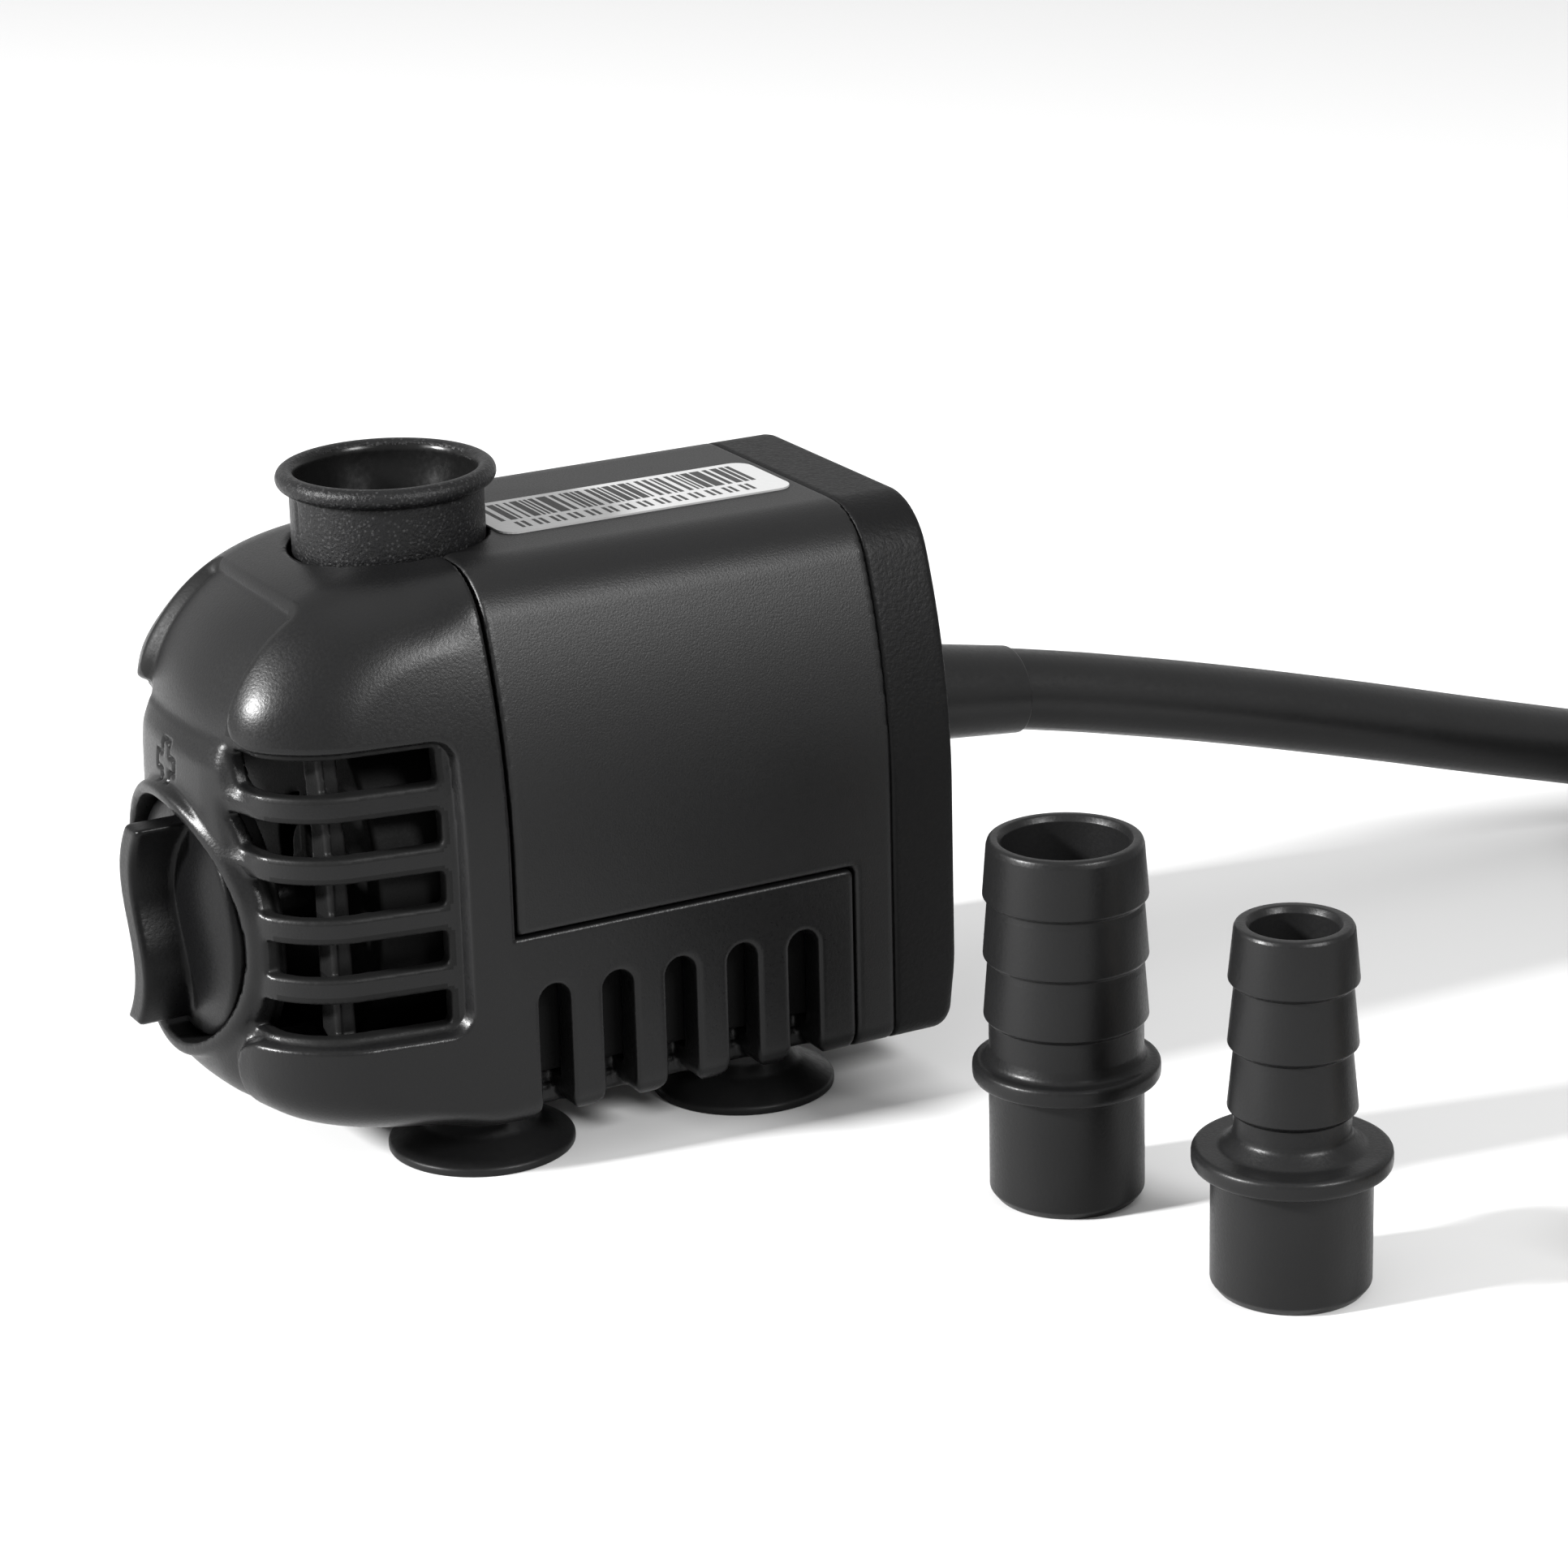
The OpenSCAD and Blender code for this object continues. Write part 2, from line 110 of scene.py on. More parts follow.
def make_camera():
    """The photograph's viewpoint: 62 degrees round from the nose and 19 above the floor."""
    data = bpy.data.cameras.new("camera")
    data.sensor_width = 36.0
    data.lens = LENS
    data.clip_start, data.clip_end = 0.01, 20.0
    azimuth, pitch, roll = (math.radians(angle) for angle in (AZIMUTH, PITCH, ROLL))
    forward = Vector((-math.sin(azimuth) * math.cos(pitch), math.cos(azimuth) * math.cos(pitch),
                      -math.sin(pitch)))
    level = Vector((math.cos(azimuth), math.sin(azimuth), 0))
    right = level * math.cos(roll) + level.cross(forward) * math.sin(roll)
    up = right.cross(forward)
    camera = bpy.data.objects.new("camera", data)
    rows = [(right[i], up[i], -forward[i], CAMERA_AT[i]) for i in range(3)]
    camera.matrix_world = Matrix(rows + [(0, 0, 0, 1)])
    bpy.context.scene.collection.objects.link(camera)
    bpy.context.scene.camera = camera


make_camera()

# ---------- cord ----------

LEAD_ROUTE = [(0, 26, 34.9), (0, 32, 34.9), (0, 38, 34.5), (0, 46, 33.4), (0, 57, 31.2),
              (0, 68, 28.6), (0, 79, 25.8), (0, 90, 22.8), (0, 101, 19.7), (0, 112, 16.5),
              (0, 124, 13.1), (0, 136, 9.8), (0, 148, 7), (0, 160, 5), (0, 175, 4.4)]
TAIL_ROUTE = [(119, 175, 13.2), (119, 162, 13.2), (119, 150, 13), (119, 136, 12), (119, 130, 12)]
COIL_AT = (61.6, 175)
COIL_OUT, COIL_IN = 61.6, 35.2          # radius of the outermost and innermost turn
LOW_TURNS, HIGH_TURNS = 3.0, 2.5        # turns on the floor and on top of those
POINTS_A_TURN = 24
STRAP_TURN = 0.75                       # turns from the coil's start to its strap


def smooth(t):
    """0 below 0, 1 above 1, and a soft step between."""
    t = np.clip(t, 0, 1)
    return t * t * (3 - 2 * t)


def coil_points():
    """Clockwise from the left side: inwards along the floor, then outwards on top of that."""
    points = []
    count = int(POINTS_A_TURN * (LOW_TURNS + HIGH_TURNS))
    for i in range(1, count):
        turn = i / POINTS_A_TURN
        inwards = COIL_OUT - 2 * CORD_R * turn
        outwards = COIL_IN + 2 * CORD_R * (turn - LOW_TURNS)
        radius = inwards if turn < LOW_TURNS else outwards
        rise = smooth((turn - LOW_TURNS) * 7 + 0.5)
        a = math.pi - 2 * math.pi * turn
        points.append((COIL_AT[0] + radius * math.cos(a), COIL_AT[1] + radius * math.sin(a),
                       CORD_R + 2 * CORD_R * float(rise)))
    return points


def make_cord():
    """The lead, the coil and the tail to the plug as one curve; each point carries the radius."""
    data = bpy.data.curves.new("cord", "CURVE")
    data.dimensions = "3D"
    data.bevel_depth = 1.0
    data.bevel_resolution = 8
    data.resolution_u = 6
    data.use_fill_caps = True
    route = LEAD_ROUTE + coil_points() + TAIL_ROUTE
    spline = data.splines.new("BEZIER")
    spline.bezier_points.add(len(route) - 1)
    for knot, point in zip(spline.bezier_points, route):
        knot.co = Vector(point) * MM
        knot.handle_left_type = knot.handle_right_type = "AUTO"
        knot.radius = CORD_R * MM
    cord = bpy.data.objects.new("mains_cord", data)
    bpy.context.scene.collection.objects.link(cord)
    return cord


cord = make_cord()
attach(cord, "pump")
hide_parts("cord_tube", "cord_coil", "cord_tail")
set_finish(cord, "cord_rubber")

# ---------- rounded solids from distance fields ----------


def both(a, b, r=0.01):
    """Inside both fields, with an edge rounded to radius r."""
    return np.minimum(-r, np.maximum(a, b)) + np.hypot(np.maximum(r + a, 0), np.maximum(r + b, 0))


def either(a, b, r=0.01):
    """Inside either field, with a fillet of radius r where they meet."""
    return np.maximum(r, np.minimum(a, b)) - np.hypot(np.maximum(r - a, 0), np.maximum(r - b, 0))


def without(a, b, r=0.01):
    """Inside a and outside b, with an edge rounded to radius r."""
    return both(a, -b, r)


def between(value, low, high):
    """Distance outside the slab from low to high."""
    return np.maximum(low - value, value - high)


def surface_net(field, low, step):
    """Vertices and quads of the zero surface of a field sampled on a grid."""
    inside = field < 0
    offsets = list(np.ndindex(2, 2, 2))
    shape = [n - 1 for n in field.shape]
    count = sum(inside[i:i + shape[0], j:j + shape[1], k:k + shape[2]].astype(np.uint8)
                for i, j, k in offsets)
    active = (count > 0) & (count < 8)
    cells = np.argwhere(active)
    index = np.full(active.shape, -1, np.int64)
    index[active] = np.arange(len(cells))
    value = {o: field[tuple((cells + o).T)] for o in offsets}
    total, hits = np.zeros((len(cells), 3)), np.zeros(len(cells))
    for start in offsets:
        for axis in range(3):
            if start[axis]:
                continue
            end = tuple(1 if i == axis else s for i, s in enumerate(start))
            a, b = value[start], value[end]
            crossed = (a < 0) != (b < 0)
            point = np.tile(np.array(start, float), (len(cells), 1))
            point[:, axis] = a / np.where(crossed, a - b, 1)
            total += point * crossed[:, None]
            hits += crossed
    vertices = low + step * (cells + total / hits[:, None])
    quads = []
    for axis in range(3):
        u, v = (axis + 1) % 3, (axis + 2) % 3
        before = [slice(None)] * 3
        after = [slice(None)] * 3
        before[axis], after[axis] = slice(0, -1), slice(1, None)
        edges = np.argwhere(inside[tuple(before)] != inside[tuple(after)])
        keep = (edges[:, u] > 0) & (edges[:, v] > 0)
        keep &= (edges[:, u] < shape[u]) & (edges[:, v] < shape[v])
        edges = edges[keep]
        ring = []
        for du, dv in ((1, 1), (0, 1), (0, 0), (1, 0)):
            cell = edges.copy()
            cell[:, u] -= du
            cell[:, v] -= dv
            ring.append(index[tuple(cell.T)])
        ring = np.stack(ring, 1)
        starts_inside = inside[tuple(edges.T)]
        quads.append(np.where(starts_inside[:, None], ring, ring[:, ::-1]))
    return vertices, np.concatenate(quads)


def settle(field, vertices, step):
    """Moves vertices onto the field's true zero surface."""
    nudge = 0.02
    for _ in range(3):
        slope = np.stack([field(*(vertices + nudge * d).T) - field(*(vertices - nudge * d).T)
                          for d in np.eye(3)], 1) / (2 * nudge)
        move = -field(*vertices.T)[:, None] * slope / np.maximum((slope ** 2).sum(1), 1e-6)[:, None]
        size = np.linalg.norm(move, axis=1)
        vertices = vertices + move * np.minimum(1, 0.5 * step / np.maximum(size, 1e-9))[:, None]
    return vertices


def mesh_object(name, vertices, faces, body):
    """A smooth-shaded piece from points in millimetres, riding on a body."""
    data = bpy.data.meshes.new(name)
    data.from_pydata((np.asarray(vertices) * MM).tolist(), [], [list(map(int, f)) for f in faces])
    data.shade_smooth()
    piece = bpy.data.objects.new(name, data)
    bpy.context.scene.collection.objects.link(piece)
    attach(piece, body)
    return piece


def solid(name, field, box, step, body):
    """A piece from a distance field in millimetres, sampled over a box."""
    low, high = box[0] - GRID_MARGIN, box[1] + GRID_MARGIN
    counts = np.ceil((high - low) / step).astype(int) + 1
    x, y, z = (low[i] + step * np.arange(counts[i]) for i in range(3))
    sampled = field(x[:, None, None], y[None, :, None], z[None, None, :])
    sampled = np.broadcast_to(sampled, counts).astype(np.float32)
    vertices, quads = surface_net(sampled, low, step)
    return mesh_object(name, settle(field, vertices, step), quads, body)


# ---------- the casing's outline ----------


def section(x, z):
    """Distance from the casing's cross-section: bowed sides, round top edges, flat top."""
    x = np.abs(x)
    lean = math.asin((TOP - TOP_R - SIDE_Z) / (SIDE_R - TOP_R))
    side_x = HALF_W - SIDE_R
    side = np.where(z > SIDE_Z, np.hypot(x - side_x, z - SIDE_Z) - SIDE_R, x - HALF_W)
    top_x = side_x + (SIDE_R - TOP_R) * math.cos(lean)
    u, v = x - top_x, z - (TOP - TOP_R)
    low_x, low_z = HALF_W - LOW_R, BASE + LOW_R
    d = np.maximum(np.maximum(side, z - TOP), BASE - z)
    d = np.where((u > 0) & (v > u * math.tan(lean)), np.hypot(u, v) - TOP_R, d)
    return np.where((x > low_x) & (z < low_z), np.hypot(x - low_x, z - low_z) - LOW_R, d)


def oval(u, v, ru, rv, power):
    """Distance from a rounded corner: a quarter superellipse of half-axes ru and rv."""
    u, v = np.maximum(u, 0), np.maximum(v, 0)
    n = ((u / ru) ** power + (v / rv) ** power) ** (1 / power)
    reach = np.where(n > 1e-3, np.hypot(u, v) / np.maximum(n, 1e-3), min(ru, rv))
    return (n - 1) * reach


def nose(x, y, z):
    """Distance from the outside of the casing, closed at the front by the nose."""
    ahead = SEAM - y
    reach = np.maximum(ahead, 0)
    side = np.abs(x) + 0.082 * reach ** 1.188           # the sides draw in towards the front
    front = ahead + 0.010 * x * x * smooth(ahead / 8)   # and the front is bowed
    over, under = 35.4, 14.2                # heights where the crown and the keel begin
    length = SEAM - NOSE
    crown = oval(front, z - over, length, TOP - over, 2.82)
    keel = oval(front, under - z, length, under - BASE, 3.08)
    upper = z > (over + under) / 2
    cap = np.where(upper, crown, keel)
    wall = np.where(z > SIDE_Z, np.hypot(side - HALF_W + SIDE_R, z - SIDE_Z) - SIDE_R, side - HALF_W)
    turn = np.where(upper, TOP_R - 0.7 * smooth(ahead / 15), LOW_R + 3.8 * smooth(ahead / 10))
    away = smooth(ahead / 6)
    return (1 - away) * np.maximum(section(side, z), cap) + away * both(wall, cap, turn)


# ---------- front cover ----------


def channel(x, y, z):
    """Distance from the outline of the shallow channel that runs down the top of the nose."""
    ahead = -0.66 * (y + 33.4) - 0.75 * (z - 57.8)
    return both(np.abs(x) - 11.3, -ahead, 2.0)


def face(x, y, z):
    """Distance from the outline of the sunk face of the nose, with a window on each side."""
    low, high = LOUVRE_Z - 2.9, LOUVRE_Z + (LOUVRE_COUNT - 1) * LOUVRE_PITCH + 3.0
    return both(both(low - z, z - high), y + 23.3, 2.6)


def sunk(x, y, z):
    """How far the nose's surface is sunk at a point, in millimetres."""
    edge = either(channel(x, y, z), face(x, y, z), 3.2)
    deep = 1.05 + 0.35 * smooth((46 - z) / 2) * smooth((np.abs(x) - 12) / 3)
    depth = deep * np.clip(-edge / (0.65 + 0.85 * smooth((z - 45.5) / 1.5)), 0, 1) ** 1.25
    ledge = 0.75 * smooth((46.2 - z) / 3.5) * smooth((14 - np.abs(x)) / 7)
    crease = 0.12 * smooth((45.6 - z) / 0.5) * smooth((13 - np.abs(x)) / 4)
    return depth * (1 - ledge - crease)


def cheek(x, y, z):
    """Extra fullness of the nose's shoulders beside the channel."""
    bulge = np.exp(-((np.abs(x) - 14.6) / 4.0) ** 2 - ((z - 49.4) / 3.2) ** 2)
    return 0.5 * bulge * smooth((-29 - y) / 8)


def louvre_gaps(x, y, z):
    """The openings between the louvres, clear of the dial's cup."""
    row = np.clip(np.round((z - LOUVRE_Z) / LOUVRE_PITCH), 0, LOUVRE_COUNT - 1)
    height = z - LOUVRE_Z - row * LOUVRE_PITCH
    slab = np.abs(height) - 1.8             # half an opening's height
    reach = np.hypot(x, z - DIAL_Z)
    ends = both(both(y + 25.1, 10.9 - 0.45 * height - np.abs(x), 0.8), 14.5 - reach, 0.9)
    return both(slab, ends, 0.6)


def skirt_slots(x, y, z):
    """Five upright slots with round tops, open at the bottom, on both sides."""
    slot = np.clip(np.round((y - SLOT_Y) / SLOT_PITCH), 0, SLOT_COUNT - 1)
    across = y - SLOT_Y - SLOT_PITCH * slot
    shape = np.hypot(across, np.maximum(z - SLOT_TOP, 0)) - SLOT_R
    return np.maximum(shape, HALF_W - 5.6 - np.abs(x))


def dial_cup(x, y, z):
    """Ring around the dial and the cup behind it, without its hollow."""
    reach = np.hypot(x, z - DIAL_Z)
    front = RING_FRONT + np.where(x > 0, 0.02, 0.009) * x * x
    ring = both(np.abs(reach - RING_R) - 0.85, front - y, 0.8)
    floor = both(reach - 13.3, DIAL_BACK - y)
    return both(np.minimum(ring, floor), y + 39.0, 0.3)


def plus_mark(x, y, z):
    """Distance from the outline of the plus sign above the dial."""
    u, v = np.abs(x + 0.4), np.abs(z - 41.3)
    return np.minimum(np.maximum(u - 2.2, v - 0.8), np.maximum(u - 0.8, v - 2.3))


def front_cover(x, y, z):
    """The nose with its windows, the dial's cup, the slotted skirt and the plate under it."""
    side = np.abs(x)
    depth = sunk(x, y, z)
    hull = nose(x, y, z) + depth - cheek(x, y, z)
    mark = plus_mark(x, y, z)
    hull = hull + 0.35 * smooth(1.2 - np.abs(mark) / 0.25) * (y < -40)
    ends = smooth((15 - side) / 3) * smooth((side - 9) / 2)
    hull = hull + 0.6 * smooth(1 - louvre_gaps(x, y, z) / 2.0) * ends
    wall = WALL + (SKIRT_WALL - WALL) * smooth((21.9 - z) / 0.5) * smooth((y - SEAM - 0.6) / 0.8)
    shell = both(hull, -(hull + wall), 0.3)
    rib = both(np.abs(y + 34.9) - 1.1, between(hull, -5.2, -2.6), 0.2)
    fin = both(np.abs(y + 35.8) - 0.35, between(hull, -5.2, -1.6), 0.2)
    rib = both(np.minimum(rib, fin), between(z, 11, 51))
    shell = without(shell, louvre_gaps(x, y, z), 0.35)
    shell = np.minimum(shell, rib)
    slots = skirt_slots(x, y, z)
    shell = without(shell, slots, 0.45)
    shell = np.maximum(shell, both(BASE - z, -slots, 2.2))
    back = np.minimum(y - SEAM, both(y - SKIRT_BACK, z - SKIRT_Z, 0.6))
    shell = both(shell, back, 0.3)
    plate = both(between(z, BASE, BASE + 2), side - (HALF_W - 5), 0.4)
    plate = both(plate, between(y, SEAM - 3, SKIRT_BACK), 0.4)
    shell = either(shell, plate, 0.5)
    reach = np.hypot(x, z - DIAL_Z)
    shell = either(shell, dial_cup(x, y, z), 0.6)
    shell = without(shell, np.maximum(reach - DIAL_R - 0.35, y - DIAL_BACK), 0.2)
    shell = without(shell, np.maximum(reach - STEM_R - 0.05, y + 38))
    tube = np.hypot(x, y - OUTLET_Y) - TUBE_R - 0.45
    shell = without(shell, np.maximum(tube, 40 - z), 0.45)
    middle = (SEAM + FOOT_BACK) / 2
    foot = np.hypot(side - FOOT_X, np.where(y < middle, y - SEAM, y - FOOT_BACK)) - 2.6
    return without(shell, np.maximum(foot, z - BASE - 4))


# ---------- dial ----------


def flow_dial(x, y, z):
    """The domed disc, its wavy grip and its stem."""
    reach = np.hypot(x, z - DIAL_Z)
    disc = both(reach - DIAL_R, -45.4 + 0.0103 * reach ** 2 - y, 0.45)
    disc = both(disc, y + 42.0, 0.3)
    stem = both(reach - STEM_R, between(y, -43, -26), 0.3)
    u = (z - DIAL_Z) / 10.8
    wave = 1.7 * u ** 3 - 1.3 * np.sin(math.pi * u)
    grip = both(np.abs(x - wave) - 1.7, np.abs(z - DIAL_Z) - 10.8, 0.5)
    grip = both(grip, between(y, DIAL_LOW[1], -43), 0.6)
    return np.minimum(either(disc, grip, 0.5), stem)


# ---------- impeller chamber with the outlet ----------


def volute(x, y, z):
    """The drum, the outlet tube with its rim, and the spokes that hold the shaft."""
    around = np.hypot(x, y - OUTLET_Y)
    reach = np.hypot(x, z - ROTOR_Z)
    drum = both(reach - DRUM_R, between(y, OUTLET_LOW[1], DRUM_BACK), 0.5)
    line = -0.16 * np.exp(-(x / 0.25) ** 2) * smooth((OUTLET_HIGH[2] - 2.4 - z) / 0.4)
    tube = both(around - TUBE_R - line, between(z, 40, OUTLET_HIGH[2] - 0.6), 0.3)
    bead = np.hypot(around - TUBE_R - 0.3, z - (OUTLET_HIGH[2] - 1)) - 1.0
    shell = either(either(drum, tube, 1.0), bead, 0.35)
    shell = without(shell, both(reach - DRUM_R + 2, between(y, OUTLET_LOW[1] + 2, DRUM_BACK + 1)))
    shell = without(shell, both(around - BORE_R, 50 - z), 0.3)
    flare = BORE_R + (MOUTH_R - BORE_R) * smooth((z - OUTLET_HIGH[2] + 8) / 7.5)
    shell = without(shell, both(around - flare, OUTLET_HIGH[2] - 8 - z), 0.45)
    passage = both(around - INLET_R, between(z, 30, 51))
    shell = without(shell, both(passage, OUTLET_LOW[1] + 2 - y))
    shell = without(shell, np.maximum(reach - INLET_R, y - OUTLET_LOW[1] - 3), 0.4)
    w = z - ROTOR_Z
    spokes = np.full(np.broadcast(x, w).shape, 99.0)
    for turn in (0, 120, 240):
        a = math.radians(turn)
        along, across = w * math.cos(a) + x * math.sin(a), x * math.cos(a) - w * math.sin(a)
        spokes = np.minimum(spokes, np.maximum(np.abs(across) - 0.8, between(along, 0, 7)))
    spokes = both(spokes, between(y, OUTLET_LOW[1], OUTLET_LOW[1] + 2), 0.3)
    hub = both(reach - 3.4, between(y, OUTLET_LOW[1], -19.2), 0.4)
    hub = without(hub, np.maximum(reach - 2.4, OUTLET_LOW[1] + 1.2 - y))
    return np.minimum(shell, either(spokes, hub, 0.4))


# ---------- motor casing and rear cover ----------


def motor_housing(x, y, z):
    """The casing between the seams, cut back where the skirt covers it, with the rotor's well."""
    outline = section(x, z)
    body = both(outline, between(y, SEAM + GAP, REAR_SEAM), 0.25)
    step = both(y - SKIRT_BACK - GAP, z - SKIRT_Z - GAP, 0.7)
    inset = GAP + WALL + (SKIRT_WALL - WALL) * (z < 22.2)
    body = without(body, np.maximum(step, -(outline + inset)), 0.3)
    chamber = np.hypot(x, z - ROTOR_Z)
    body = without(body, np.maximum(chamber - DRUM_R - 0.2, y - DRUM_BACK), 0.3)
    hollow = np.maximum(outline + 4.4 + 1.2 * (z < 23.5), -6 - y)
    well = np.maximum(chamber - 9.8, y - 20.2)
    body = without(body, without(hollow, well))
    body = without(body, np.maximum(chamber - 8.6, y - 19))
    tube = np.hypot(x, y - OUTLET_Y) - TUBE_R - 0.2
    return without(body, np.maximum(tube, 40 - z), 0.3)


def rear_cover(x, y, z):
    """The end cap with the cord's hole."""
    outline = section(x, z)
    body = both(outline, y - REAR, 0.6 + 1.4 * smooth((14 - z) / 8))
    body = both(body, REAR_SEAM + 0.02 - y, 0.3)
    body = without(body, np.maximum(outline + 2, y - REAR + 2))
    hole = np.hypot(x, z - CORD_Z) - 6
    return without(body, hole)


# ---------- plug and strap ----------


def plug(x, y, z):
    """Moulded plug: a waisted block with a ribbed, tapering strain relief."""
    x, z = x - PLUG_X, z - PLUG_Z
    back, front = 112.0, 81.0
    taper = 0.9 * smooth((y - 96) / 14)
    block = both(np.abs(x) - 13 + taper, np.abs(z + 1) - 10.85 + taper, 4.5)
    block = block + 0.55 * smooth(1 - np.abs(y - 101) / 7) * smooth((np.abs(x) - 8) / 4)
    block = both(block, between(y, front, back), 1.6)
    grooves = np.abs((y - 101) / 2.4 - np.round((y - 101) / 2.4)) * 2.4 - 0.35
    grooves = np.maximum(grooves, np.abs(y - 101) - 5.6)
    block = block + 0.35 * smooth(-grooves / 0.35) * smooth((np.abs(x) - 9) / 2)
    reach = np.hypot(x, z)
    relief = reach - (5.4 + 3.4 * np.clip((136 - y) / 24, 0, 1) ** 1.3)
    relief = both(relief, between(y, 108, 136), 0.6)
    relief = relief + 0.7 * smooth(1 - np.abs((y - 117.5) % 4.4 - 2.2) / 0.8) * (y > 115) * (y < 133)
    return either(block, relief, 1.4)


def strap(x, y, z):
    """Ribbed strap drawn tight round the five turns of cord that it crosses."""
    low, high = corners("coil_tie")
    far = COIL_AT[1] - COIL_OUT + 2 * CORD_R * STRAP_TURN
    near = far + 4 * CORD_R
    stack = [(far, CORD_R), (near, CORD_R), (near - CORD_R, 3 * CORD_R), (far + CORD_R, 3 * CORD_R)]
    reach = 99.0
    for (y0, z0), (y1, z1) in zip(stack, stack[1:] + stack[:1]):
        dy, dz = y1 - y0, z1 - z0
        along = np.clip(((y - y0) * dy + (z - z0) * dz) / (dy * dy + dz * dz), 0, 1)
        reach = np.minimum(reach, np.hypot(y - y0 - along * dy, z - z0 - along * dz))
    ring = both(np.abs(reach - CORD_R - 0.6) - 0.5, 0.05 - z, 0.2)
    side = np.abs(x - (low[0] + high[0]) / 2) - (high[0] - low[0]) / 2
    ridges = 0.14 * np.cos(2 * math.pi * x / 1.1) * (side < -0.8)
    return both(ring + 0.14 - ridges, side, 0.4)


# ---------- turned pieces ----------


def rounded(outline):
    """An outline of (radius, height, corner) points as a polyline with arcs at its corners."""
    points = []
    count = len(outline)
    for i, (r, h, corner) in enumerate(outline):
        p = np.array((r, h))
        before, after = (np.array(outline[j][:2]) - p for j in (i - 1, (i + 1) % count))
        if corner == 0 or min(np.linalg.norm(before), np.linalg.norm(after)) < 1e-9:
            points.append(p)
            continue
        u, v = before / np.linalg.norm(before), after / np.linalg.norm(after)
        half = math.acos(np.clip(u @ v, -1, 1)) / 2
        cut = min(corner / math.tan(half), 0.48 * np.linalg.norm(before), 0.48 * np.linalg.norm(after))
        for t in np.linspace(0, 1, 5):
            points.append(p + u * cut * (1 - t) ** 2 + v * cut * t ** 2)
    return points


def turned(name, outline, at, body, axis="z", steps=112):
    """A piece turned from a closed outline. axis z stands it up, axis y lays it along +Y."""
    points = rounded(outline)
    n = len(points)
    a = np.arange(steps) * 2 * math.pi / steps
    r, h = np.array(points).T
    flat = np.stack([np.outer(np.cos(a), r), np.outer(np.sin(a), r), np.tile(h, (steps, 1))], 2)
    if axis == "y":
        flat = flat[:, :, [0, 2, 1]] * (1, 1, -1)
    vertices = flat.reshape(-1, 3) + np.array(at)
    i, j = np.meshgrid(np.arange(steps), np.arange(n), indexing="ij")
    i, j = i.ravel(), j.ravel()
    i2, j2 = (i + 1) % steps, (j + 1) % n
    faces = np.stack([i * n + j, i2 * n + j, i2 * n + j2, i * n + j2], 1)
    return mesh_object(name, vertices, faces, body)


def adaptor_outline(bore, tail, barb, flange, shoulder, top, barbs):
    """Spigot at the bottom, flange, then a hose tail with three barbs; (radius, height, corner)."""
    outline = [(bore, 0, 0.3), (6.9, 0, 0.4), (7.6, 0.9, 0.6), (7.6, 12.3, 0.35),
               (flange, 12.3, 0.7), (flange, 14.3, 0.7), (shoulder, 14.3, 0.8), (tail, 15.6, 1.0)]
    for z in barbs:
        outline += [(tail, z - 0.5, 0.15), (barb, z, 0.3), (tail + 0.1, z + 5, 0.25)]
    return outline + [(tail - 0.1, top, 0.5), (bore + 0.4, top, 0.3), (bore, top - 0.6, 0.3)]


# outline of a suction cup and its stud
FOOT = [(0.01, 2, 0), (4, 1.6, 1), (8.6, 0, 0.2), (9.5, 0, 0.25), (9.5, 0.8, 0.5), (6, 2.6, 1.6),
        (5, 3.8, 0.8), (5, 5, 0.3), (2.6, 5, 0.2), (2.6, 7, 0.2), (3.4, 7, 0.3), (2.4, 8.3, 0.4),
        (0.01, 8.3, 0)]


